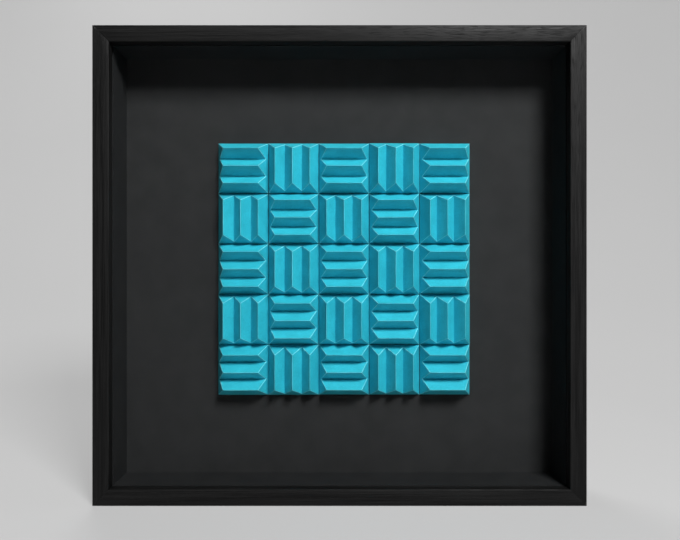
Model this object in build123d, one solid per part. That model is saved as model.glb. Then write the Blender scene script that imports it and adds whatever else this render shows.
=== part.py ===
"""A deep box frame for the wall that holds a folded-card relief behind glass.

The frame stands on its bottom rail: X runs along its width, +Z is up, the front faces -Y and the
origin is the centre of the overall box's underside. From the front, the layers are the lip of the
mitred wooden moulding, the glass, four black spacers, the black mount board that carries the relief,
and a back panel held by steel tabs. All sizes are in millimetres.
"""
from build123d import *
import os

# Moulding
frame_width = 510.0
frame_height = 496.0
frame_depth = 68.0
face_width = 17.0        # front face, from the outer edge to the sight edge
lip_depth = 10.0         # wood in front of the glass
lip_overhang = 5.0       # how far the lip covers the edge of the glass
arris = 0.5              # small bevel along the long edges

# Layers inside the rebate, from front to back
glass_thickness = 2.0
spacer_depth = 39.0      # from the glass to the mount board
mount_board_thickness = 1.5
back_panel_thickness = 4.0
pane_clearance = 1.0     # from the edge of the glass, the board or the panel to the rebate wall

# Folded-card tiles, laid as a basket weave
tiles_per_side = 5
tile_side = 55.9
tile_gap = 0.3           # between the feet of two tiles
card_thickness = 0.45
ridges_per_tile = 3
ridge_height = 20.0      # from the mount board to a ridge
valley_height = 5.0      # from the mount board to a valley between two ridges
hip_run = 9.0            # how far the outer slopes reach inwards
glue_flange = 4.0        # width of the flange folded in at the foot
run_on = 4.0             # how far the working shapes pass the foot before they are trimmed
relief_shift_x = 5.0     # the relief sits by eye, a little off the middle of the board
relief_shift_z = -3.5

# V-nails across the back of the mitres
v_nail_leg = 7.5
v_nail_thickness = 0.6
v_nail_length = 8.0
v_nail_inset = 4.0       # from the outer corner, along each rail

# Steel tabs that hold the back panel
tab_length = 15.0
tab_in_wood = 5.0
tab_width = 6.0
tab_thickness = 0.5
tabs_per_rail = 3
tab_spacing = 150.0

# Sawtooth hangers on the top rail, and bumpers that keep the frame parallel to the wall
hanger_spacing = 340.0
hanger_length = 46.0
hanger_height = 9.0
hanger_thickness = 0.8
hanger_rise = 1.5        # room for a nail head between the strip and the wood
hanger_foot = 9.0        # flat end that is nailed down
hanger_teeth = 8
tooth_depth = 1.6
nail_radius = 0.6
nail_length = 9.0
nail_head_radius = 1.6
nail_head_thickness = 0.6
bumper_margin = 1.0      # wood left on both sides of a bumper
bumper_inset = 30.0      # from the side of the frame to the middle of a bumper

# Planes and openings that follow from the sizes above
stand_off = hanger_rise + hanger_thickness
front_y = -(frame_depth + stand_off) / 2
rear_y = front_y + frame_depth
glass_front_y = front_y + lip_depth
glass_rear_y = glass_front_y + glass_thickness
board_front_y = glass_rear_y + spacer_depth
board_rear_y = board_front_y + mount_board_thickness
panel_rear_y = board_rear_y + back_panel_thickness
wall_width = face_width - lip_overhang                 # the moulding beside the rebate
rebate_width = frame_width - 2 * wall_width
rebate_height = frame_height - 2 * wall_width
spacer_thickness = lip_overhang                        # flush with the sight edge
bumper_radius = wall_width / 2 - bumper_margin
middle_z = frame_height / 2


def block(x_range, y_range, z_range):
    """A box from its lowest to its highest corner."""
    low = (x_range[0], y_range[0], z_range[0])
    size = (x_range[1] - x_range[0], y_range[1] - y_range[0], z_range[1] - z_range[0])
    return Pos(*low) * Box(*size, align=(Align.MIN, Align.MIN, Align.MIN))


def centred(size):
    """The range of that size about zero."""
    return (-size / 2, size / 2)


def about_middle(size):
    """The range of that size about the frame's mid height."""
    return (middle_z - size / 2, middle_z + size / 2)


# ---- Frame ----

def rail(length):
    """A mitred length of moulding, its outer face on z = 0 and its length along X."""
    outline = [
        (front_y, arris), (front_y + arris, 0), (rear_y - arris, 0), (rear_y, arris),
        (rear_y, wall_width), (glass_front_y, wall_width), (glass_front_y, face_width),
        (front_y + arris, face_width), (front_y, face_width - arris),
    ]
    stick = extrude(Plane.YZ * make_face(Polyline(*outline, close=True)), length / 2, both=True)
    mitre = [
        (-length / 2, 0), (length / 2, 0),
        (length / 2 - face_width, face_width), (-length / 2 + face_width, face_width),
    ]
    cut = extrude(Plane.XZ * make_face(Polyline(*mitre, close=True)), frame_depth, both=True)
    return stick & cut


def v_nails():
    """One bent steel wedge across each mitre, driven in flush from the back."""
    nails = []
    for side_x in (-1, 1):
        for side_z in (-1, 1):
            corner_x = side_x * (frame_width / 2 - v_nail_inset)
            corner_z = middle_z + side_z * (frame_height / 2 - v_nail_inset)
            depth = (rear_y - v_nail_length, rear_y)
            along_x = sorted((corner_x, corner_x - side_x * v_nail_leg))
            along_z = sorted((corner_z, corner_z - side_z * v_nail_leg))
            thin_x = sorted((corner_x, corner_x - side_x * v_nail_thickness))
            thin_z = sorted((corner_z, corner_z - side_z * v_nail_thickness))
            nails.append(block(along_x, depth, thin_z) + block(thin_x, depth, along_z))
    return nails


def panel_tabs():
    """Thin steel strips, pushed into the rebate wall and lying on the back panel."""
    tabs = []
    depth = (panel_rear_y, panel_rear_y + tab_thickness)
    over_panel = tab_length - tab_in_wood
    for n in range(tabs_per_rail):
        along = (n - (tabs_per_rail - 1) / 2) * tab_spacing
        width_x = (along - tab_width / 2, along + tab_width / 2)
        width_z = (middle_z + width_x[0], middle_z + width_x[1])
        for side in (-1, 1):
            wall_x = side * rebate_width / 2
            wall_z = middle_z + side * rebate_height / 2
            reach_x = sorted((wall_x + side * tab_in_wood, wall_x - side * over_panel))
            reach_z = sorted((wall_z + side * tab_in_wood, wall_z - side * over_panel))
            tabs.append(block(reach_x, depth, width_z))
            tabs.append(block(width_x, depth, reach_z))
    return tabs


def rails(pressed_in):
    """The four rails, cut out for the pieces that are pressed into them."""
    placed = {
        "frame_rail_bottom": rail(frame_width),
        "frame_rail_top": Location((0, 0, frame_height), (0, 180, 0)) * rail(frame_width),
        "frame_rail_left": Location((-frame_width / 2, 0, middle_z), (0, 90, 0)) * rail(frame_height),
        "frame_rail_right": Location((frame_width / 2, 0, middle_z), (0, -90, 0)) * rail(frame_height),
    }
    for name in placed:
        for piece in pressed_in:
            placed[name] = placed[name] - piece
    return placed


# ---- Layers in the rebate ----

def sheet(front, thickness):
    """A flat sheet that drops into the rebate with clearance all round."""
    width = rebate_width - 2 * pane_clearance
    height = rebate_height - 2 * pane_clearance
    return block(centred(width), (front, front + thickness), about_middle(height))


def spacers():
    """Long pieces above and below, and short ones between them, all flush with the sight edge."""
    depth = (glass_rear_y, board_front_y)
    low_z, high_z = about_middle(rebate_height)
    wall_x = rebate_width / 2
    between = (low_z + spacer_thickness, high_z - spacer_thickness)
    return {
        "spacer_bottom": block(centred(rebate_width), depth, (low_z, between[0])),
        "spacer_top": block(centred(rebate_width), depth, (between[1], high_z)),
        "spacer_left": block((-wall_x, -wall_x + spacer_thickness), depth, between),
        "spacer_right": block((wall_x - spacer_thickness, wall_x), depth, between),
    }


# ---- Relief ----

def pleat_points():
    """The zigzag across the ridges, running on below the foot."""
    foot_run = run_on * hip_run / ridge_height
    pleat_run = (tile_side - 2 * hip_run) / (2 * (ridges_per_tile - 1))
    points = [(-tile_side / 2 - foot_run, -run_on)]
    for n in range(2 * ridges_per_tile - 1):
        height = ridge_height if n % 2 == 0 else valley_height
        points.append((-tile_side / 2 + hip_run + n * pleat_run, height))
    points.append((tile_side / 2 + foot_run, -run_on))
    return points


def end_points():
    """The hipped outline along the ridges, running on below the foot and above the ridges."""
    slope = hip_run / ridge_height
    low = tile_side / 2 + run_on * slope
    top = ridge_height + run_on
    high = tile_side / 2 - top * slope
    return [(-low, -run_on), (-high, top), (high, top), (low, -run_on)]


def hipped_pleats(inset):
    """The pleated, hipped body, with every face moved inwards by inset."""
    across = make_face(Polyline(*pleat_points(), close=True))
    along = make_face(Polyline(*end_points(), close=True))
    if inset:
        across = offset(across, -inset, kind=Kind.INTERSECTION)
        along = offset(along, -inset, kind=Kind.INTERSECTION)
    return (
        extrude(Plane.XZ * across, tile_side, both=True)
        & extrude(Plane.YZ * along, tile_side, both=True)
    )


def folded_tile():
    """One card folded into hipped ridges, hollow, with its glue flange turned in at the foot."""
    half = centred(2 * tile_side)
    opening = centred(tile_side - 2 * glue_flange)
    outside = hipped_pleats(0) & block(half, half, (0, 2 * ridge_height))
    hollow = hipped_pleats(card_thickness) & block(half, half, (card_thickness, 2 * ridge_height))
    return outside - hollow - block(opening, opening, (0, card_thickness))


def tile_places():
    """The middle of each tile and its turn on the board, row by row from the top left."""
    pitch = tile_side + tile_gap
    places = []
    for row in range(tiles_per_side):
        for column in range(tiles_per_side):
            x = relief_shift_x + (column - (tiles_per_side - 1) / 2) * pitch
            z = middle_z + relief_shift_z - (row - (tiles_per_side - 1) / 2) * pitch
            turn = 90 if (row + column) % 2 == 0 else 0
            places.append((x, z, turn))
    return places


def relief_tiles():
    tile = folded_tile()
    placed = {}
    for number, (x, z, turn) in enumerate(tile_places(), start=1):
        board = Plane(origin=(x, board_front_y, z), x_dir=(1, 0, 0), z_dir=(0, -1, 0))
        placed[f"relief_tile_{number:02d}"] = board.location * Rot(0, 0, turn) * tile
    return placed


# ---- Hanging hardware ----

hanger_middle_z = frame_height - wall_width / 2
nail_offset = (hanger_length - hanger_foot) / 2


def sawtooth_hanger(x):
    """A steel strip, nailed at both ends, whose raised middle has teeth along its lower edge."""
    half = hanger_length / 2
    bend = half - hanger_foot
    lift = hanger_rise
    side = [
        (-half, 0), (-bend, 0), (-bend + lift, lift), (bend - lift, lift), (bend, 0), (half, 0),
        (half, hanger_thickness), (bend, hanger_thickness),
        (bend - lift, lift + hanger_thickness), (-bend + lift, lift + hanger_thickness),
        (-bend, hanger_thickness), (-half, hanger_thickness),
    ]
    strip = extrude(Plane.XY * make_face(Polyline(*side, close=True)), hanger_height / 2, both=True)
    pitch = 2 * (bend - lift) / hanger_teeth
    for n in range(hanger_teeth):
        left = -bend + lift + n * pitch
        notch = [(left, 0), (left + pitch, 0), (left + pitch / 2, tooth_depth)]
        wedge = extrude(Plane.XZ * make_face(Polyline(*notch, close=True)), frame_depth, both=True)
        strip = strip - Pos(0, 0, -hanger_height / 2) * wedge
    for side_x in (-1, 1):
        hole = Rot(90, 0, 0) * Cylinder(nail_radius, frame_depth)
        strip = strip - Pos(side_x * nail_offset, 0, 0) * hole
    return Pos(x, rear_y, hanger_middle_z) * strip


def hanger_nails():
    """Two round nails for each hanger, with their heads on its flat ends."""
    nails = []
    for side in (-1, 1):
        for end in (-1, 1):
            x = side * hanger_spacing / 2 + end * nail_offset
            tip_y = rear_y + hanger_thickness - nail_length
            shank = Cylinder(nail_radius, nail_length, align=(Align.CENTER, Align.CENTER, Align.MIN))
            head = Cylinder(
                nail_head_radius, nail_head_thickness, align=(Align.CENTER, Align.CENTER, Align.MIN)
            )
            nail = shank + Pos(0, 0, nail_length) * head
            nails.append(Pos(x, tip_y, hanger_middle_z) * Rot(-90, 0, 0) * nail)
    return nails


def bumper(side):
    """A round pad on the bottom rail, as thick as the hangers."""
    pad = Cylinder(bumper_radius, stand_off, align=(Align.CENTER, Align.CENTER, Align.MIN))
    x = side * (frame_width / 2 - bumper_inset)
    return Pos(x, rear_y, wall_width / 2) * Rot(-90, 0, 0) * pad


# ---- All pieces ----

corner_nails = v_nails()
steel_tabs = panel_tabs()
small_nails = hanger_nails()
nodes = rails(corner_nails + steel_tabs + small_nails)
nodes["corner_v_nails"] = Compound(children=corner_nails)
nodes["glass_pane"] = sheet(glass_front_y, glass_thickness)
nodes.update(spacers())
nodes["mount_board"] = sheet(board_front_y, mount_board_thickness)
nodes["back_panel"] = sheet(board_rear_y, back_panel_thickness)
nodes["panel_tabs"] = Compound(children=steel_tabs)
nodes.update(relief_tiles())
nodes["sawtooth_hanger_left"] = sawtooth_hanger(-hanger_spacing / 2)
nodes["sawtooth_hanger_right"] = sawtooth_hanger(hanger_spacing / 2)
nodes["hanger_nails"] = Compound(children=small_nails)
nodes["wall_bumper_left"] = bumper(-1)
nodes["wall_bumper_right"] = bumper(1)

os.makedirs("parts", exist_ok=True)
for name, shape in nodes.items():
    export_step(shape, f"parts/{name}.step")
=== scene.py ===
# %% [markdown]
# # A folded-card relief behind glass
#
# The object is a deep black box frame. Behind its glass a relief of folded turquoise card is glued to
# a black board. The construction model fixes every size and place, so this lesson only gives the
# pieces their true edges, creases and finishes. Each object is in metres: X runs along the width of
# the frame, Z is up and the glass faces -Y.

# %% Load the frame
import math
import random

import bmesh
import bpy
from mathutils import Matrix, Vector


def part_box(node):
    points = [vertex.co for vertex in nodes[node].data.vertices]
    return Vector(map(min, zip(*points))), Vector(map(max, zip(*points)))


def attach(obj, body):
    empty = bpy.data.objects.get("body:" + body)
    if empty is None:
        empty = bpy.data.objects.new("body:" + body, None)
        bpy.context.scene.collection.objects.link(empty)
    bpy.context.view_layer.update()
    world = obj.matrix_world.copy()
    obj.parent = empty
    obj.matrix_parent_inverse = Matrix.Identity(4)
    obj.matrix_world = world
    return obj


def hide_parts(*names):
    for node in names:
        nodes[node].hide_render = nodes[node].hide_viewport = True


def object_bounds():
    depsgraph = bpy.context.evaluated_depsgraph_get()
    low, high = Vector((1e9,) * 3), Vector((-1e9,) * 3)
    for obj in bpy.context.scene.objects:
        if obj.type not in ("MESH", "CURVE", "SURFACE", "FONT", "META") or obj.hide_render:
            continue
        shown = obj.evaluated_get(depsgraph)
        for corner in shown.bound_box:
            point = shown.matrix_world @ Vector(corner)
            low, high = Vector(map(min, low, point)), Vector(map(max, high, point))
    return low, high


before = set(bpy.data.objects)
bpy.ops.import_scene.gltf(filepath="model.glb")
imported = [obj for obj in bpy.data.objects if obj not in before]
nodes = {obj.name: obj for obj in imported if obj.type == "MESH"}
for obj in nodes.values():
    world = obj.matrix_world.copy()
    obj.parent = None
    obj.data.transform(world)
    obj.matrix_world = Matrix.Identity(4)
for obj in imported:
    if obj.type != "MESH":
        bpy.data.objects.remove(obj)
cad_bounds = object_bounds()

low, high = (Vector(corner) for corner in cad_bounds)
print(f"{len(nodes)} pieces in a box of", [round(side, 4) for side in high - low])

# %% [markdown]
# ## Sizes
#
# A piece that is remade takes its place from the boxes of the construction model, and those boxes also
# give the layers of the frame. Only what a box can't tell is written down, in the step that needs it:
# where the creases of a card lie, and how sharp its folds and the edges of the wood are.

# %% Read the layers from the boxes
rail_low, rail_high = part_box("frame_rail_bottom")
glass_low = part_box("glass_pane")[0]
spacer_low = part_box("spacer_left")[0]
panel_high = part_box("back_panel")[1]

front_y, rear_y = rail_low[1], rail_high[1]
face_width = rail_high[2] - rail_low[2]
wall_width = spacer_low[0] - low.x
middle_z = (low.z + high.z) / 2
print(f"face {face_width * 1000:.1f} mm, wall {wall_width * 1000:.1f} mm, glass at y {glass_low[1]:.4f}")

# %% [markdown]
# ## The camera
#
# A wall piece is looked at square on. The camera stands 0.6 m in front of the wood, a little below the
# middle of the frame, so that all four inner walls of the box show.

# %% Place the camera
camera_distance = 0.600
camera_drop = 0.0046
camera_aside = 0.0005
view_width = 0.7010      # what the picture takes in at the front of the wood
sensor_width = 36.0

camera_data = bpy.data.cameras.new("camera")
camera_data.sensor_width = sensor_width
camera_data.lens = sensor_width * camera_distance / view_width
camera = bpy.data.objects.new("camera", camera_data)
camera.location = (camera_aside, front_y - camera_distance, middle_z - camera_drop)
camera.rotation_euler = (math.radians(90), 0, 0)
bpy.context.scene.collection.objects.link(camera)
bpy.context.scene.camera = camera
print(f"lens {camera_data.lens:.2f} mm")

# %% [markdown]
# ## Node arithmetic
#
# A finish is a tree of nodes, and most of them are sums. The class `Value` wraps one socket, so that
# an expression such as `0.4 + 0.2 * grain` adds its own Math nodes. Every other node comes from one
# method, `Finish.node`, which takes the node's type, then its settings, then its sockets.

# %% Values
class Value:
    """One value in a material. Arithmetic on it adds Math nodes."""

    def __init__(self, finish, socket):
        self.finish = finish
        self.socket = socket

    def math(self, operation, first, second):
        return self.finish.node("ShaderNodeMath", {"operation": operation}, {0: first, 1: second})

    def __add__(self, other):
        return self.math("ADD", self, other)

    def __sub__(self, other):
        return self.math("SUBTRACT", self, other)

    def __rsub__(self, other):
        return self.math("SUBTRACT", other, self)

    def __mul__(self, other):
        return self.math("MULTIPLY", self, other)

    __radd__ = __add__
    __rmul__ = __mul__

    def ramp(self, start, end):
        """0 below start and 1 above end, with a soft change between them."""
        ends = {"Value": self, "From Min": start, "From Max": end}
        return self.finish.node("ShaderNodeMapRange", {"interpolation_type": "SMOOTHSTEP"}, ends)


print("helper ready: Value")

# %% [markdown]
# `Finish` holds one material. Beside `node` it has a short method for each kind of node that comes back
# in several finishes, such as a noise, a mix of two colours or a bump.

# %% Finishes
class Finish:
    """A material, and the nodes that it is made of."""

    def __init__(self, name):
        self.material = bpy.data.materials.new(name)
        self.material.use_nodes = True
        self.tree = self.material.node_tree
        self.tree.nodes.clear()

    def node(self, kind, settings=None, sockets=None, out=0):
        """Adds a node and returns one of its outputs as a Value, if it has any."""
        node = self.tree.nodes.new(kind)
        for name, setting in (settings or {}).items():
            if name == "stops":
                set_stops(node.color_ramp, setting)
            else:
                setattr(node, name, setting)
        for name, content in (sockets or {}).items():
            socket = find_socket(node.inputs, name)
            if isinstance(content, Value):
                self.tree.links.new(content.socket, socket)
            else:
                socket.default_value = content
        return Value(self, find_socket(node.outputs, out)) if node.outputs else None

    def mix(self, factor, first, second):
        """A colour between two colours."""
        sockets = {"Factor_Float": factor, "A_Color": first, "B_Color": second}
        return self.node("ShaderNodeMix", {"data_type": "RGBA"}, sockets, "Result_Color")

    def noise(self, place, scale, detail=2.0, roughness=0.5):
        """Cloudy values about 0.5, scale of them in a metre."""
        sockets = {"Vector": place, "Scale": scale, "Detail": detail, "Roughness": roughness}
        return self.node("ShaderNodeTexNoise", None, sockets)

    def stretch(self, place, factors):
        """Coordinates squeezed or stretched along their three axes."""
        sockets = {0: place, 1: factors}
        return self.node("ShaderNodeVectorMath", {"operation": "MULTIPLY"}, sockets)

    def where(self):
        """The place on the piece, in metres."""
        return self.node("ShaderNodeTexCoord", None, None, "Object")

    def bump(self, height, depth):
        """The normal of a surface whose relief is height times depth, in metres."""
        return self.node("ShaderNodeBump", None, {"Height": height, "Strength": 1.0, "Distance": depth})

    def principled(self, sockets):
        """Ends the material with a Principled shader."""
        shader = self.node("ShaderNodeBsdfPrincipled", None, sockets)
        self.node("ShaderNodeOutputMaterial", None, {"Surface": shader})
        return self.material


def find_socket(sockets, name):
    """The socket at that place in the list, or of that identifier or name."""
    if isinstance(name, int):
        return sockets[name]
    matches = [s for s in sockets if s.identifier == name] or [s for s in sockets if s.name == name]
    return matches[0]


def set_stops(ramp, stops):
    """Gives a colour ramp its stops, a list of (position, colour)."""
    while len(ramp.elements) < len(stops):
        ramp.elements.new(1.0)
    for element, (position, colour) in zip(ramp.elements, stops):
        element.position = position
        element.color = colour


print("helpers ready: Finish, find_socket, set_stops")

# %% [markdown]
# ## Meshes and pieces
#
# A piece made here rides on the frame's only body, stands in for a construction node and gets its finishes
# as material slots. `add_piece` does all of that, so no piece can miss a step.
# `turned` makes the round shapes, the nails and the bumpers, from half of their section.

# %% Piece helpers
merge_distance = 0.00001     # points nearer than this are one point


def add_piece(name, mesh, finishes, stands_for):
    """Links a mesh as a piece of the object and gives it its finishes."""
    piece = bpy.data.objects.new(name, mesh)
    bpy.context.scene.collection.objects.link(piece)
    for finish in finishes:
        mesh.materials.append(finish)
    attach(piece, "root")
    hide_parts(*stands_for)
    return piece


def finish_node(name, finish):
    """Gives a construction node a finish in place of its plain one."""
    nodes[name].data.materials.clear()
    nodes[name].data.materials.append(finish)


def soften_edges(name, width):
    """Rounds the sharp edges of a construction node a little."""
    bevel = nodes[name].modifiers.new("soft edges", "BEVEL")
    bevel.width = width
    bevel.segments = 2
    bevel.limit_method = "ANGLE"


def to_mesh(name, shape, smooth_angle=None):
    """Turns a bmesh into a mesh, smooth up to an angle between faces, or flat if none is given."""
    bmesh.ops.recalc_face_normals(shape, faces=shape.faces)
    mesh = bpy.data.meshes.new(name)
    shape.to_mesh(mesh)
    shape.free()
    if smooth_angle:
        mesh.shade_smooth()
        mesh.set_sharp_from_angle(angle=math.radians(smooth_angle))
    return mesh


def turned(shape, profile, centre, sides=40):
    """Adds a round piece about the Y axis through centre. The profile is a list of (radius, y)."""
    rings = []
    for radius, y in profile:
        ring = []
        for n in range(sides):
            angle = 2 * math.pi * n / sides
            offset = Vector((radius * math.cos(angle), y, radius * math.sin(angle)))
            ring.append(shape.verts.new(centre + offset))
        rings.append(ring)
    for first, second in zip(rings, rings[1:]):
        for n in range(sides):
            m = (n + 1) % sides
            shape.faces.new((first[n], first[m], second[m], second[n]))
    shape.faces.new(rings[0])
    shape.faces.new(rings[-1])


print("helpers ready: add_piece, finish_node, soften_edges, to_mesh, turned")

# %% [markdown]
# ## Black-stained wood
#
# The frame is open-grained wood, stained black and left satin. Stain hides the colour of the grain but
# not its pores, so the grain shows as fine streaks that catch the light differently. The streaks have
# to run along each rail and stop at the mitres. Each rail therefore carries its own coordinates in the
# attribute `grain`: length along the rail, place across it and depth, in metres.

# %% The wood's finish
def stained_wood():
    wood = Finish("black_stained_wood")
    place = wood.node("ShaderNodeAttribute", {"attribute_name": "grain"}, None, "Vector")
    bands = wood.noise(wood.stretch(place, (4, 170, 170)), 1.0)
    fibres = wood.noise(wood.stretch(place, (11, 1250, 1250)), 1.0, detail=4.0, roughness=0.62)
    pores = wood.noise(wood.stretch(place, (70, 2300, 2300)), 1.0, detail=1.0).ramp(0.57, 0.70)
    grain = (0.65 * fibres + 0.35 * bands).ramp(0.40, 0.60)
    colour = wood.mix(grain, (0.001, 0.001, 0.001, 1), (0.009, 0.009, 0.009, 1))
    colour = wood.mix(0.7 * pores, colour, (0.001, 0.001, 0.001, 1))
    return wood.principled({
        "Base Color": colour,
        "Roughness": 0.46 + 0.14 * grain + 0.15 * pores,
        "Specular IOR Level": 0.16,
        "Normal": wood.bump(0.5 * grain - pores, 0.00009),
    })


black_wood = stained_wood()
print("finish:", black_wood.name)

# %% [markdown]
# ## The rails
#
# A rail is cut from one length of moulding. Its section is an L: a lip in front that covers the edge of
# the glass, and a wall behind it. The section could be extruded and cut by a boolean, but a mitre is
# simpler than that: each point of the section is swept to its own length, shorter by its distance from
# the outer face. The long edges are rubbed round, most of all at the sight edge, which catches a line
# of light. The ends are eased, so that a fine line shows where two rails meet.

# %% The section of the moulding
edge_radius = 0.0005
sight_edge_radius = 0.0011
inner_edge_radius = 0.0003
arc_steps = 4


def rounded_outline(corners):
    """The points of a right-angled outline, given as (depth, width, radius), with arcs at its corners."""
    points = []
    for n, (depth, width, radius) in enumerate(corners):
        corner = Vector((depth, width))
        before = (Vector(corners[n - 1][:2]) - corner).normalized()
        after = (Vector(corners[(n + 1) % len(corners)][:2]) - corner).normalized()
        for step in range(arc_steps + 1):
            angle = math.radians(90) * step / arc_steps
            inwards = before * (1 - math.sin(angle)) + after * (1 - math.cos(angle))
            points.append(corner + inwards * radius)
    return points


moulding = rounded_outline([
    (front_y, 0, edge_radius), (rear_y, 0, edge_radius),
    (rear_y, wall_width, inner_edge_radius), (glass_low[1], wall_width, inner_edge_radius),
    (glass_low[1], face_width, inner_edge_radius), (front_y, face_width, sight_edge_radius),
])
print(f"{len(moulding)} points in the section")

# %% Sweep the four rails
joint_gap = 0.00004      # half the hairline between two mitred ends
joint_ease = 0.00015
rail_stations = 24
grain_step = 0.37        # how far apart two rails are cut from the same wood


def rail_mesh(side, length, place):
    """A mitred rail. place turns (along, across, depth) into a point of the frame."""
    shape = bmesh.new()
    rings = []
    for n in range(rail_stations + 1):
        share = 2 * n / rail_stations - 1
        ring = []
        for depth, width in moulding:
            along = share * (length / 2 - width - joint_gap)
            ring.append(shape.verts.new(place(along, width, depth)))
        rings.append(ring)
    count = len(moulding)
    for first, second in zip(rings, rings[1:]):
        for n in range(count):
            m = (n + 1) % count
            shape.faces.new((first[n], first[m], second[m], second[n]))
    ends = [shape.faces.new(rings[0]), shape.faces.new(rings[-1])]
    end_edges = [edge for face in ends for edge in face.edges]
    bmesh.ops.bevel(shape, geom=end_edges, offset=joint_ease, segments=1, affect="EDGES")
    return to_mesh(f"rail_{side}", shape, smooth_angle=35)


def set_grain(mesh, upright, start):
    """Stores the coordinates that the wood's finish follows."""
    grain = mesh.attributes.new("grain", "FLOAT_VECTOR", "POINT")
    for vertex, value in zip(mesh.vertices, grain.data):
        x, y, z = vertex.co
        value.vector = (start + z, start + x, y) if upright else (start + x, start + z, y)


width, height = high.x - low.x, high.z - low.z
rail_places = {
    "bottom": (width, lambda along, across, depth: (along, depth, low.z + across)),
    "top": (width, lambda along, across, depth: (along, depth, high.z - across)),
    "left": (height, lambda along, across, depth: (low.x + across, depth, middle_z + along)),
    "right": (height, lambda along, across, depth: (high.x - across, depth, middle_z + along)),
}
for number, (side, (length, place)) in enumerate(rail_places.items()):
    mesh = rail_mesh(side, length, place)
    set_grain(mesh, side in ("left", "right"), start=grain_step * number)
    add_piece(f"wood_rail_{side}", mesh, [black_wood], [f"frame_rail_{side}"])
    print("rail", side, len(mesh.polygons), "faces")

# %% [markdown]
# ## Black board and black spacers
#
# The relief lies on uncoated black board, and the four spacers that hold the glass off it are faced with the
# same kind of paper. Black paper is never quite even: it has soft clouds and a fine tooth. The spacers get a
# darker copy of it, which is painted shade on the inner walls of the box. Both stay construction nodes,
# because a flat sheet is already their true shape.

# %% Black paper
def black_paper(name, dark, light):
    paper = Finish(name)
    place = paper.where()
    clouds = paper.noise(place, 45.0, detail=3.0)
    tooth = paper.noise(place, 1500.0, detail=3.0, roughness=0.6)
    return paper.principled({
        "Base Color": paper.mix((0.6 * clouds + 0.4 * tooth).ramp(0.3, 0.7), dark, light),
        "Roughness": 0.80 + 0.10 * tooth,
        "Specular IOR Level": 0.22,
        "Normal": paper.bump(tooth, 0.000004),
    })


spacer_edge_radius = 0.0003
board_black = black_paper("black_board", (0.018, 0.018, 0.019, 1), (0.024, 0.024, 0.025, 1))
# the spacers' darker copy of the paper is painted shade on the walls of the box
spacer_black_painted_shade = black_paper("black_spacer_painted_shade", (0.010, 0.010, 0.011, 1), (0.015, 0.015, 0.016, 1))
finish_node("mount_board", board_black)
for side in ("top", "bottom", "left", "right"):
    finish_node(f"spacer_{side}", spacer_black_painted_shade)
    soften_edges(f"spacer_{side}", spacer_edge_radius)
print("board and spacers finished")

# %% [markdown]
# ## Turquoise card
#
# The card is dyed through, so it is one even turquoise with a soft, slightly uneven surface. A scored fold
# stretches the fibres on its outside, which makes the crease a little paler and rougher. The creases
# therefore have a finish of their own, and it is far paler than stretched fibres alone: it is also a painted
# highlight along every outward fold.

# %% The card's two finishes
def dyed_card(name, dark, light, roughness):
    card = Finish(name)
    place = card.where()
    clouds = card.noise(place, 60.0, detail=2.0)
    fibres = card.noise(place, 850.0, detail=5.0, roughness=0.75)
    return card.principled({
        "Base Color": card.mix((0.25 * clouds + 0.75 * fibres).ramp(0.36, 0.64), dark, light),
        "Roughness": roughness + 0.12 * fibres,
        "Specular IOR Level": 0.50,
        "Normal": card.bump(fibres, 0.00009),
    })


card_face = dyed_card("turquoise_card", (0.014, 0.38, 0.50, 1), (0.030, 0.53, 0.67, 1), 0.52)
# the crease finish is paler stretched fibres plus a painted highlight along the outward folds
crease_fibres_and_painted_highlight = dyed_card("turquoise_crease_and_painted_highlight", (0.220, 0.76, 0.86, 1), (0.340, 0.86, 0.93, 1), 0.65)
print("finishes:", card_face.name, crease_fibres_and_painted_highlight.name)

# %% [markdown]
# ## A folded tile
#
# One tile is one card: three hipped ridges side by side, hollow behind, with a narrow flange turned in at
# the foot for the glue. A height map over a grid would give blurred, stepped creases. So each flat part
# between two creases is a patch of its own, a small grid that bows by a fraction of a millimetre, as
# real card does. The patches are merged where they meet, the creases are found by the angle between
# faces and rounded, and a Solidify modifier gives the card its thickness.

# %% Patches of card
ridge_count = 3
hip_run = 0.009
valley_height = 0.005
card_thickness = 0.00045
glue_flange = 0.004
crease_width = 0.00030
crease_angle = 20
patch_steps = (3, 8)
largest_bow = 0.00022


def add_patch(shape, corners, steps, bow):
    """A grid between four corners, swollen by bow in its middle."""
    a, b, c, d = (Vector(corner) for corner in corners)
    normal = (c - a).cross(d - b).normalized()
    across, along = steps
    grid = []
    for j in range(along + 1):
        t = j / along
        row = []
        for i in range(across + 1):
            s = i / across
            point = a.lerp(b, s).lerp(d.lerp(c, s), t)
            swell = bow * math.sin(math.pi * s) * math.sin(math.pi * t)
            row.append(shape.verts.new(point + normal * swell))
        grid.append(row)
    for lower, upper in zip(grid, grid[1:]):
        for i in range(across):
            shape.faces.new((lower[i], lower[i + 1], upper[i + 1], upper[i]))


print("helper ready: add_patch")

# %% [markdown]
# A card is laid out from its fold lines. Between two of them lies a slope, with a hip at either end, and
# each hip turns in at the foot to a strip of the flange. The folds are then rounded in two goes, because
# only the outward ones stretch the card and get the paler finish, which also paints a highlight along them.

# %% Fold a card
def pleat_lines(half, ridge_height):
    """For each fold across a tile: its place, its height, and how far it reaches to either end."""
    run = (half - hip_run) / (ridge_count - 1)
    lines = [(-half, 0.0)]
    for n in range(2 * ridge_count - 1):
        lines.append((-half + hip_run + n * run, ridge_height if n % 2 == 0 else valley_height))
    lines.append((half, 0.0))
    return [(place, height, half - height * hip_run / ridge_height) for place, height in lines]


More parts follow.
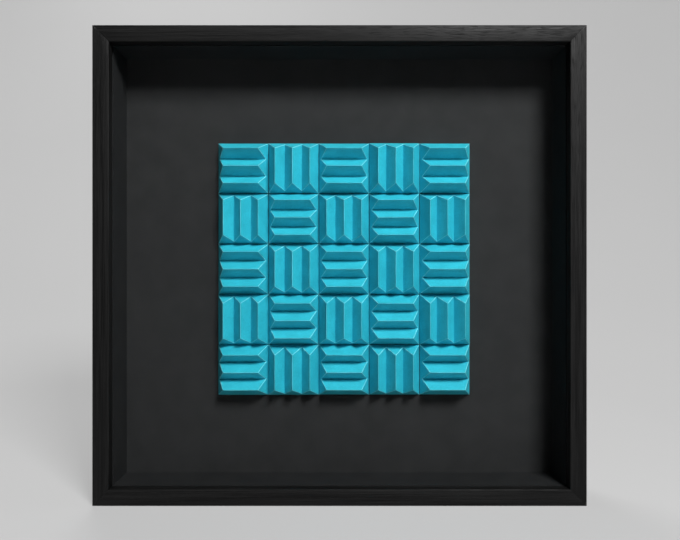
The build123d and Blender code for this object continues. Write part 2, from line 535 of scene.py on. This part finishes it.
def folded_card(half, ridge_height, chance):
    """The outside of one folded card as a bmesh, with its foot on z = 0."""
    shape = bmesh.new()
    across, along = patch_steps
    lines = pleat_lines(half, ridge_height)
    inner = half - glue_flange
    for (u, h, reach), (u2, h2, reach2) in zip(lines, lines[1:]):
        bow = chance.uniform(-largest_bow, largest_bow)
        slope = [(u, -reach, h), (u2, -reach2, h2), (u2, reach2, h2), (u, reach, h)]
        add_patch(shape, slope, patch_steps, bow)
        for end in (-1, 1):
            hip = [(u, end * half, 0), (u2, end * half, 0), (u2, end * reach2, h2), (u, end * reach, h)]
            add_patch(shape, hip, (across, across), 0)
            flange_u, flange_u2 = (max(-inner, min(inner, place)) for place in (u, u2))
            flange = [
                (flange_u, end * inner, 0), (flange_u2, end * inner, 0),
                (u2, end * half, 0), (u, end * half, 0),
            ]
            add_patch(shape, flange, (across, 1), 0)
    for side in (-1, 1):
        flange = [
            (side * half, -half, 0), (side * inner, -inner, 0),
            (side * inner, inner, 0), (side * half, half, 0),
        ]
        add_patch(shape, flange, (1, along), 0)
    bmesh.ops.remove_doubles(shape, verts=shape.verts, dist=merge_distance)
    return shape


def round_creases(shape):
    """Rounds every fold. The new faces on the outward folds get the second finish: paler fibres and a
    painted highlight.
    """
    bmesh.ops.recalc_face_normals(shape, faces=shape.faces)
    folds = []
    for edge in shape.edges:
        if len(edge.link_faces) == 2 and edge.calc_face_angle() > math.radians(crease_angle):
            folds.append(edge)
    for outward in (True, False):
        kind = [edge for edge in folds if edge.is_valid and edge.is_convex == outward]
        rounded = bmesh.ops.bevel(shape, geom=kind, offset=crease_width, segments=2, affect="EDGES")
        if outward:
            for face in rounded["faces"]:
                # material 1 is the crease finish: paler fibres and a painted highlight
                face.material_index = 1
    return len(folds)


print("helpers ready: pleat_lines, folded_card, round_creases")

# %% [markdown]
# ## The weave
#
# Twenty-five tiles lie five by five, each a quarter turn from its neighbours, like the strips of a plain
# basket. Hands set them down, so each one is off its place by a few hundredths of a millimetre and
# turned by a fraction of a degree. The draws come from one seeded source, so every run gives the same
# relief.

# %% Lay the tiles
largest_shift = 0.00005
largest_turn = math.radians(0.10)
height_spread = 0.006


def lay_tile(shape, centre, turned_across, chance):
    """Moves a card from its own axes to its place on the board."""
    shift_x = chance.uniform(-largest_shift, largest_shift)
    shift_z = chance.uniform(-largest_shift, largest_shift)
    angle = chance.uniform(-largest_turn, largest_turn) + math.radians(90 if turned_across else 0)
    for vertex in shape.verts:
        u, v, h = vertex.co
        x = centre.x + shift_x + u * math.cos(angle) - v * math.sin(angle)
        z = centre.z + shift_z + u * math.sin(angle) + v * math.cos(angle)
        vertex.co = (x, centre.y - h, z)


tile_names = sorted(name for name in nodes if name.startswith("relief_tile"))
chance = random.Random(25)
for number, name in enumerate(tile_names):
    tile_low, tile_high = (Vector(corner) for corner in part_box(name))
    foot = (tile_low + tile_high) / 2
    foot.y = tile_high.y
    ridge_height = (tile_high.y - tile_low.y) * (1 - chance.uniform(0, height_spread))
    shape = folded_card((tile_high.x - tile_low.x) / 2, ridge_height, chance)
    fold_count = round_creases(shape)
    lay_tile(shape, foot, number % 2 == 0, chance)
    mesh = to_mesh(name, shape, smooth_angle=38)
    card = add_piece(f"card_{name}", mesh, [card_face, crease_fibres_and_painted_highlight], [name])
    thickness = card.modifiers.new("card thickness", "SOLIDIFY")
    thickness.thickness = card_thickness
    thickness.offset = -1
print(len(tile_names), "tiles,", fold_count, "fold edges in the last one")

# %% [markdown]
# ## Glass
#
# The pane is picture glass, coated so that nothing shows in it from in front. A Glass shader would bend
# the lamps' light and leave the relief in noisy shade, so the pane is a mix: a Transparent shader lets
# the picture and the light through, and a Glossy one adds the reflection. Fresnel gives the share of
# the reflection, and the coating takes a fixed amount off it: it leaves none up to about 60 degrees from
# square on, and a strong one at a glancing angle. Only the outer face reflects. Inside the pane the
# light isn't bent here, so Fresnel would turn its inner face into a mirror.

# %% Coated glass
coating = 0.09           # the share of the light that the coating stops from being reflected


def coated_glass():
    glass = Finish("coated_glass")
    clear = glass.node("ShaderNodeBsdfTransparent", None, {"Color": (0.985, 0.995, 0.990, 1)})
    mirror = glass.node("ShaderNodeBsdfGlossy", None, {"Color": (1, 1, 1, 1), "Roughness": 0.02})
    fresnel = glass.node("ShaderNodeFresnel", None, {"IOR": 1.5})
    behind = glass.node("ShaderNodeNewGeometry", None, None, "Backfacing")
    share = (1 - behind) * (fresnel - coating)
    both = glass.node("ShaderNodeMixShader", None, {0: share, 1: clear, 2: mirror})
    glass.node("ShaderNodeOutputMaterial", None, {"Surface": both})
    return glass.material


finish_node("glass_pane", coated_glass())
print("glass finished")

# %% [markdown]
# ## The back panel
#
# The panel is thin hardboard. Its pressed fibres show as short pale and dark flecks on an even brown,
# with a slightly rough surface. Two mixed colours can't give flecks of both kinds, so a colour ramp
# turns one noise into four browns.

# %% Hardboard
def hardboard():
    board = Finish("hardboard")
    place = board.where()
    clouds = board.noise(place, 14.0, detail=3.0)
    flecks = board.noise(board.stretch(place, (1500, 1500, 600)), 1.0, detail=4.0, roughness=0.7)
    stops = [
        (0.30, (0.130, 0.066, 0.031, 1)), (0.44, (0.190, 0.103, 0.050, 1)),
        (0.60, (0.212, 0.118, 0.059, 1)), (0.74, (0.300, 0.180, 0.098, 1)),
    ]
    fibres = board.node("ShaderNodeValToRGB", {"stops": stops}, {"Fac": flecks}, "Color")
    return board.principled({
        "Base Color": board.mix(0.5 * clouds.ramp(0.35, 0.7), fibres, (0.215, 0.118, 0.058, 1)),
        "Roughness": 0.62 + 0.18 * flecks,
        "Normal": board.bump(flecks, 0.00003),
    })


finish_node("back_panel", hardboard())
print("back panel finished")

# %% [markdown]
# ## Steel
#
# The tabs, wedges, nails and hangers are thin zinc-plated steel. Plating is bright but not polished: it
# has faint rolling marks and a cloudy roughness. The pieces are too small to show a brushed highlight, so
# plain noise feeds the roughness, and an anisotropic shader isn't needed.

# %% Plated steel
def plated_steel():
    steel = Finish("plated_steel")
    place = steel.where()
    clouds = steel.noise(place, 260.0, detail=3.0)
    marks = steel.noise(steel.stretch(place, (300, 300, 6000)), 1.0, detail=2.0)
    return steel.principled({
        "Base Color": steel.mix(clouds, (0.52, 0.52, 0.50, 1), (0.66, 0.66, 0.65, 1)),
        "Metallic": 1.0,
        "Roughness": 0.26 + 0.18 * clouds + 0.06 * marks,
        "Normal": steel.bump(marks, 0.00002),
    })


hanger_edge_radius = 0.00012
steel = plated_steel()
for side in ("left", "right"):
    finish_node(f"sawtooth_hanger_{side}", steel)
    soften_edges(f"sawtooth_hanger_{side}", hanger_edge_radius)
print("finish:", steel.name)

# %% [markdown]
# ## Tabs behind the panel
#
# Twelve flexible tabs hold the panel in. A gun fires each one into the wall of the rebate, and its free
# end is pressed down on the panel. As a strip it has round corners, and it springs up a little at the
# tip, so that a fingernail can lift it.

# %% Fire the tabs
tab_thickness = 0.0005
tab_width = 0.006
tab_in_wood = 0.005
tab_over_panel = 0.010
tab_spacing = 0.150
tabs_per_rail = 3
tab_lift = 0.0007
tab_corner = 0.0016
straight_steps = 8
corner_steps = 6


def tab_outline():
    """The stations of a tab from the wood to the tip: place along it, half its width, its rise."""
    straight = tab_in_wood + tab_over_panel - tab_corner
    stations = [(straight * n / straight_steps - tab_in_wood, tab_width / 2) for n in range(straight_steps)]
    for n in range(corner_steps + 1):
        angle = math.radians(90) * n / corner_steps
        along = tab_over_panel - tab_corner * (1 - math.sin(angle))
        stations.append((along, tab_width / 2 - tab_corner * (1 - math.cos(angle))))
    return [(along, half, tab_lift * max(0.0, along / tab_over_panel) ** 2) for along, half in stations]


def add_tab(shape, origin, inwards):
    """A strip that starts in the wood and lies on the panel, from origin on the rebate wall."""
    sideways = inwards.cross(Vector((0, 1, 0)))
    rings = []
    for along, half, rise in tab_outline():
        ring = []
        for side, level in ((-1, 0), (1, 0), (1, tab_thickness), (-1, tab_thickness)):
            point = origin + inwards * along + sideways * side * half + Vector((0, rise + level, 0))
            ring.append(shape.verts.new(point))
        rings.append(ring)
    for first, second in zip(rings, rings[1:]):
        for n in range(4):
            m = (n + 1) % 4
            shape.faces.new((first[n], first[m], second[m], second[n]))
    shape.faces.new(rings[0])
    shape.faces.new(rings[-1])


tabs = bmesh.new()
rebate_x = high.x - wall_width
rebate_z = high.z - wall_width - middle_z
for n in range(tabs_per_rail):
    offset = (n - (tabs_per_rail - 1) / 2) * tab_spacing
    for side in (-1, 1):
        wall_x = Vector((side * rebate_x, panel_high[1], middle_z + offset))
        wall_z = Vector((offset, panel_high[1], middle_z + side * rebate_z))
        add_tab(tabs, wall_x, Vector((-side, 0, 0)))
        add_tab(tabs, wall_z, Vector((0, 0, -side)))
add_piece("flexible_tabs", to_mesh("flexible_tabs", tabs, smooth_angle=35), [steel], ["panel_tabs"])
print(4 * tabs_per_rail, "tabs")

# %% [markdown]
# ## Wedges in the mitres
#
# A V-shaped wedge is driven into each glued mitre from behind, with one leg in either rail. It stops
# flush with the wood. Here its end stands a few hundredths of a millimetre proud, because two faces in
# one plane would flicker.

# %% Drive the wedges
wedge_leg = 0.0075
wedge_thickness = 0.0006
wedge_inset = 0.004
wedge_length = 0.008
wedge_proud = 0.00005

chevron = [
    (0, 0), (wedge_leg, 0), (wedge_leg, wedge_thickness), (wedge_thickness, wedge_thickness),
    (wedge_thickness, wedge_leg), (0, wedge_leg),
]
wedges = bmesh.new()
for side_x in (-1, 1):
    for side_z in (-1, 1):
        corner = Vector((side_x * (high.x - wedge_inset), 0, middle_z + side_z * (height / 2 - wedge_inset)))
        ends = []
        for depth in (rear_y - wedge_length, rear_y + wedge_proud):
            ring = [wedges.verts.new(corner + Vector((-side_x * a, depth, -side_z * b))) for a, b in chevron]
            ends.append(ring)
            wedges.faces.new(ring)
        for n in range(len(chevron)):
            m = (n + 1) % len(chevron)
            wedges.faces.new((ends[0][n], ends[0][m], ends[1][m], ends[1][n]))
add_piece("mitre_wedges", to_mesh("mitre_wedges", wedges), [steel], ["corner_v_nails"])
print("4 wedges")

# %% [markdown]
# ## Hanger nails and bumpers
#
# Each hanger has a small nail with a domed head at both ends. Two soft round bumpers under them are as
# thick as the hangers, so the frame hangs parallel to the wall. Both are turned shapes, which need only
# half of their section.

# %% Turn the nails and the bumpers
nail_radius = 0.0006
nail_length = 0.009
nail_head_radius = 0.0016
nail_head_height = 0.0006
nail_seat_share = 0.94   # the underside of a head is this much of its rim
hanger_foot = 0.009
dome_steps = 6


def dome(radius, base, height):
    """The profile of a low dome, from its rim to near its middle."""
    profile = []
    for step in range(dome_steps):
        angle = math.radians(90) * step / dome_steps
        profile.append((radius * math.cos(angle), base + height * math.sin(angle)))
    return profile


nails = bmesh.new()
hanger_nail_low, hanger_nail_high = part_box("hanger_nails")
head_seat = hanger_nail_high[1] - nail_head_height
nail_z = (hanger_nail_low[2] + hanger_nail_high[2]) / 2
for side in ("left", "right"):
    hanger_low, hanger_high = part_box(f"sawtooth_hanger_{side}")
    for x in (hanger_low[0] + hanger_foot / 2, hanger_high[0] - hanger_foot / 2):
        shank = [(nail_radius, head_seat - nail_length), (nail_radius, head_seat)]
        seat = (nail_head_radius * nail_seat_share, head_seat)
        head = [seat] + dome(nail_head_radius, head_seat, nail_head_height)
        turned(nails, shank + head, Vector((x, 0, nail_z)), sides=24)
add_piece("hanger_pins", to_mesh("hanger_pins", nails, smooth_angle=30), [steel], ["hanger_nails"])
print("4 nails")

# %% [markdown]
# ## Bumpers
#
# The bumpers are dark rubber, matt from dust. A bevelled cylinder would do, but turned from a section
# they get their round rim at once.

# %% Bumpers
bumper_rim = 0.0007


def bumper_rubber():
    rubber = Finish("bumper_rubber")
    tooth = rubber.noise(rubber.where(), 2200.0, detail=2.0)
    return rubber.principled({
        "Base Color": rubber.mix(tooth, (0.020, 0.020, 0.021, 1), (0.032, 0.032, 0.033, 1)),
        "Roughness": 0.55 + 0.15 * tooth,
        "Normal": rubber.bump(tooth, 0.00005),
    })


rubber = bumper_rubber()
for side in ("left", "right"):
    pad_low, pad_high = (Vector(corner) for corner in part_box(f"wall_bumper_{side}"))
    radius = (pad_high.x - pad_low.x) / 2
    profile = [(radius, pad_low.y), (radius, pad_high.y - bumper_rim)]
    for rim_radius, y in dome(bumper_rim, pad_high.y - bumper_rim, bumper_rim):
        profile.append((radius - bumper_rim + rim_radius, y))
    profile.append((radius - bumper_rim, pad_high.y))
    pad = bmesh.new()
    middle = (pad_low + pad_high) / 2
    turned(pad, profile, Vector((middle.x, 0, middle.z)))
    bmesh.ops.remove_doubles(pad, verts=pad.verts, dist=merge_distance)
    mesh = to_mesh(f"bumper_{side}", pad, smooth_angle=40)
    add_piece(f"rubber_bumper_{side}", mesh, [rubber], [f"wall_bumper_{side}"])
print("2 bumpers")

# %% [markdown]
# ## Floor and backdrop
#
# The frame stands on a pale floor inside a wide, shallow bowl. Its sides curve up without a corner, so that
# no line of a horizon shows from any side. The frame stands nearer to the side behind it, which makes the
# backdrop, and the far sides throw little light back. A pale bowl would fill every shadow on the object, so
# its paint is grey, and half of it glows for the camera, for reflections and for what is seen through the
# glass, but lights nothing. The bowl isn't part of the object.

# %% Studio paint
glow_share = 0.5
seen_by = ("Camera", "Glossy", "Transmission")     # the rays that see the paint glow


def studio_paint():
    paint = Finish("studio_paint")
    clouds = paint.noise(paint.where(), 2.5)
    lit = paint.node("ShaderNodeBsdfDiffuse", None, {
        "Color": paint.mix(clouds, (0.38, 0.38, 0.38, 1), (0.42, 0.42, 0.42, 1)),
    })
    glow = paint.node("ShaderNodeEmission", None, {"Color": (0.72, 0.72, 0.72, 1)})
    rays = [paint.node("ShaderNodeLightPath", None, None, f"Is {kind} Ray") for kind in seen_by]
    share = glow_share * sum(rays[1:], rays[0]).ramp(0, 1)
    both = paint.node("ShaderNodeMixShader", None, {0: share, 1: lit, 2: glow})
    paint.node("ShaderNodeOutputMaterial", None, {"Surface": both})
    return paint.material


bowl_paint = studio_paint()
print("finish:", bowl_paint.name)

# %% Turn the bowl
bowl_radius = 4.2
bowl_centre_y = -2.6
bowl_curve = 1.3
bowl_top = 3.2
bowl_sides = 96
curve_steps = 16

bowl_path = []
for step in range(curve_steps + 1):
    angle = math.radians(90) * step / curve_steps
    bowl_path.append((
        bowl_radius - bowl_curve * (1 - math.sin(angle)),
        bowl_curve * (1 - math.cos(angle)),
    ))
bowl_path.append((bowl_radius, bowl_top))
bowl = bmesh.new()
rings = []
for radius, z in bowl_path:
    angles = [2 * math.pi * n / bowl_sides for n in range(bowl_sides)]
    rings.append([
        bowl.verts.new((radius * math.cos(a), bowl_centre_y + radius * math.sin(a), z)) for a in angles
    ])
bowl.faces.new(rings[0])
for lower, upper in zip(rings, rings[1:]):
    for n in range(bowl_sides):
        m = (n + 1) % bowl_sides
        bowl.faces.new((lower[n], lower[m], upper[m], upper[n]))
studio = bpy.data.objects.new("studio_bowl", to_mesh("studio_bowl", bowl, smooth_angle=60))
studio.data.materials.append(bowl_paint)
bpy.context.scene.collection.objects.link(studio)
print("bowl", len(bowl_path), "rings")

# %% [markdown]
# ## Light
#
# One softbox hangs high on the right, in front of the frame. It reaches into the box under the lip, so
# the top and the right wall throw soft shadows on the board, and the folds get a bright side and a dark
# side. Its power is set so that a white sheet in place of the mount board would be nearly white. A
# second, weaker softbox behind the frame lights its back, and a dim grey world fills the shadows.

# %% Hang the softboxes
key_offset = Vector((0.67, -1.27, 1.25))     # from the middle of the picture
key_size = 0.50
key_level = 0.90                             # 1 makes a white sheet behind the glass just white
back_offset = Vector((-0.55, 1.30, 1.65))
back_size = 0.90
back_level = 0.32
fill_level = 0.05
fill_colour = (0.97, 0.98, 1.0, 1)
target = Vector((0, front_y, middle_z))


def hang_softbox(name, offset, size, level):
    """A square lamp that points at the picture. Level is what a white sheet facing Y there reflects."""
    lamp_data = bpy.data.lights.new(name, "AREA")
    lamp_data.shape = "SQUARE"
    lamp_data.size = size
    slant = abs(offset.y) / offset.length
    lamp_data.energy = level * math.pi ** 2 * offset.length_squared / slant
    lamp = bpy.data.objects.new(name, lamp_data)
    lamp.location = target + offset
    lamp.rotation_euler = (-offset).to_track_quat("-Z", "Y").to_euler()
    lamp.visible_camera = False
    bpy.context.scene.collection.objects.link(lamp)
    print(name, round(lamp_data.energy, 1), "W")


hang_softbox("key_softbox", key_offset, key_size, key_level)
hang_softbox("back_softbox", back_offset, back_size, back_level)

world = bpy.data.worlds.new("studio")
world.use_nodes = True
background = world.node_tree.nodes["Background"]
background.inputs["Color"].default_value = fill_colour
background.inputs["Strength"].default_value = fill_level
bpy.context.scene.world = world
bpy.context.scene.view_settings.view_transform = "Standard"
print("fill", fill_level)
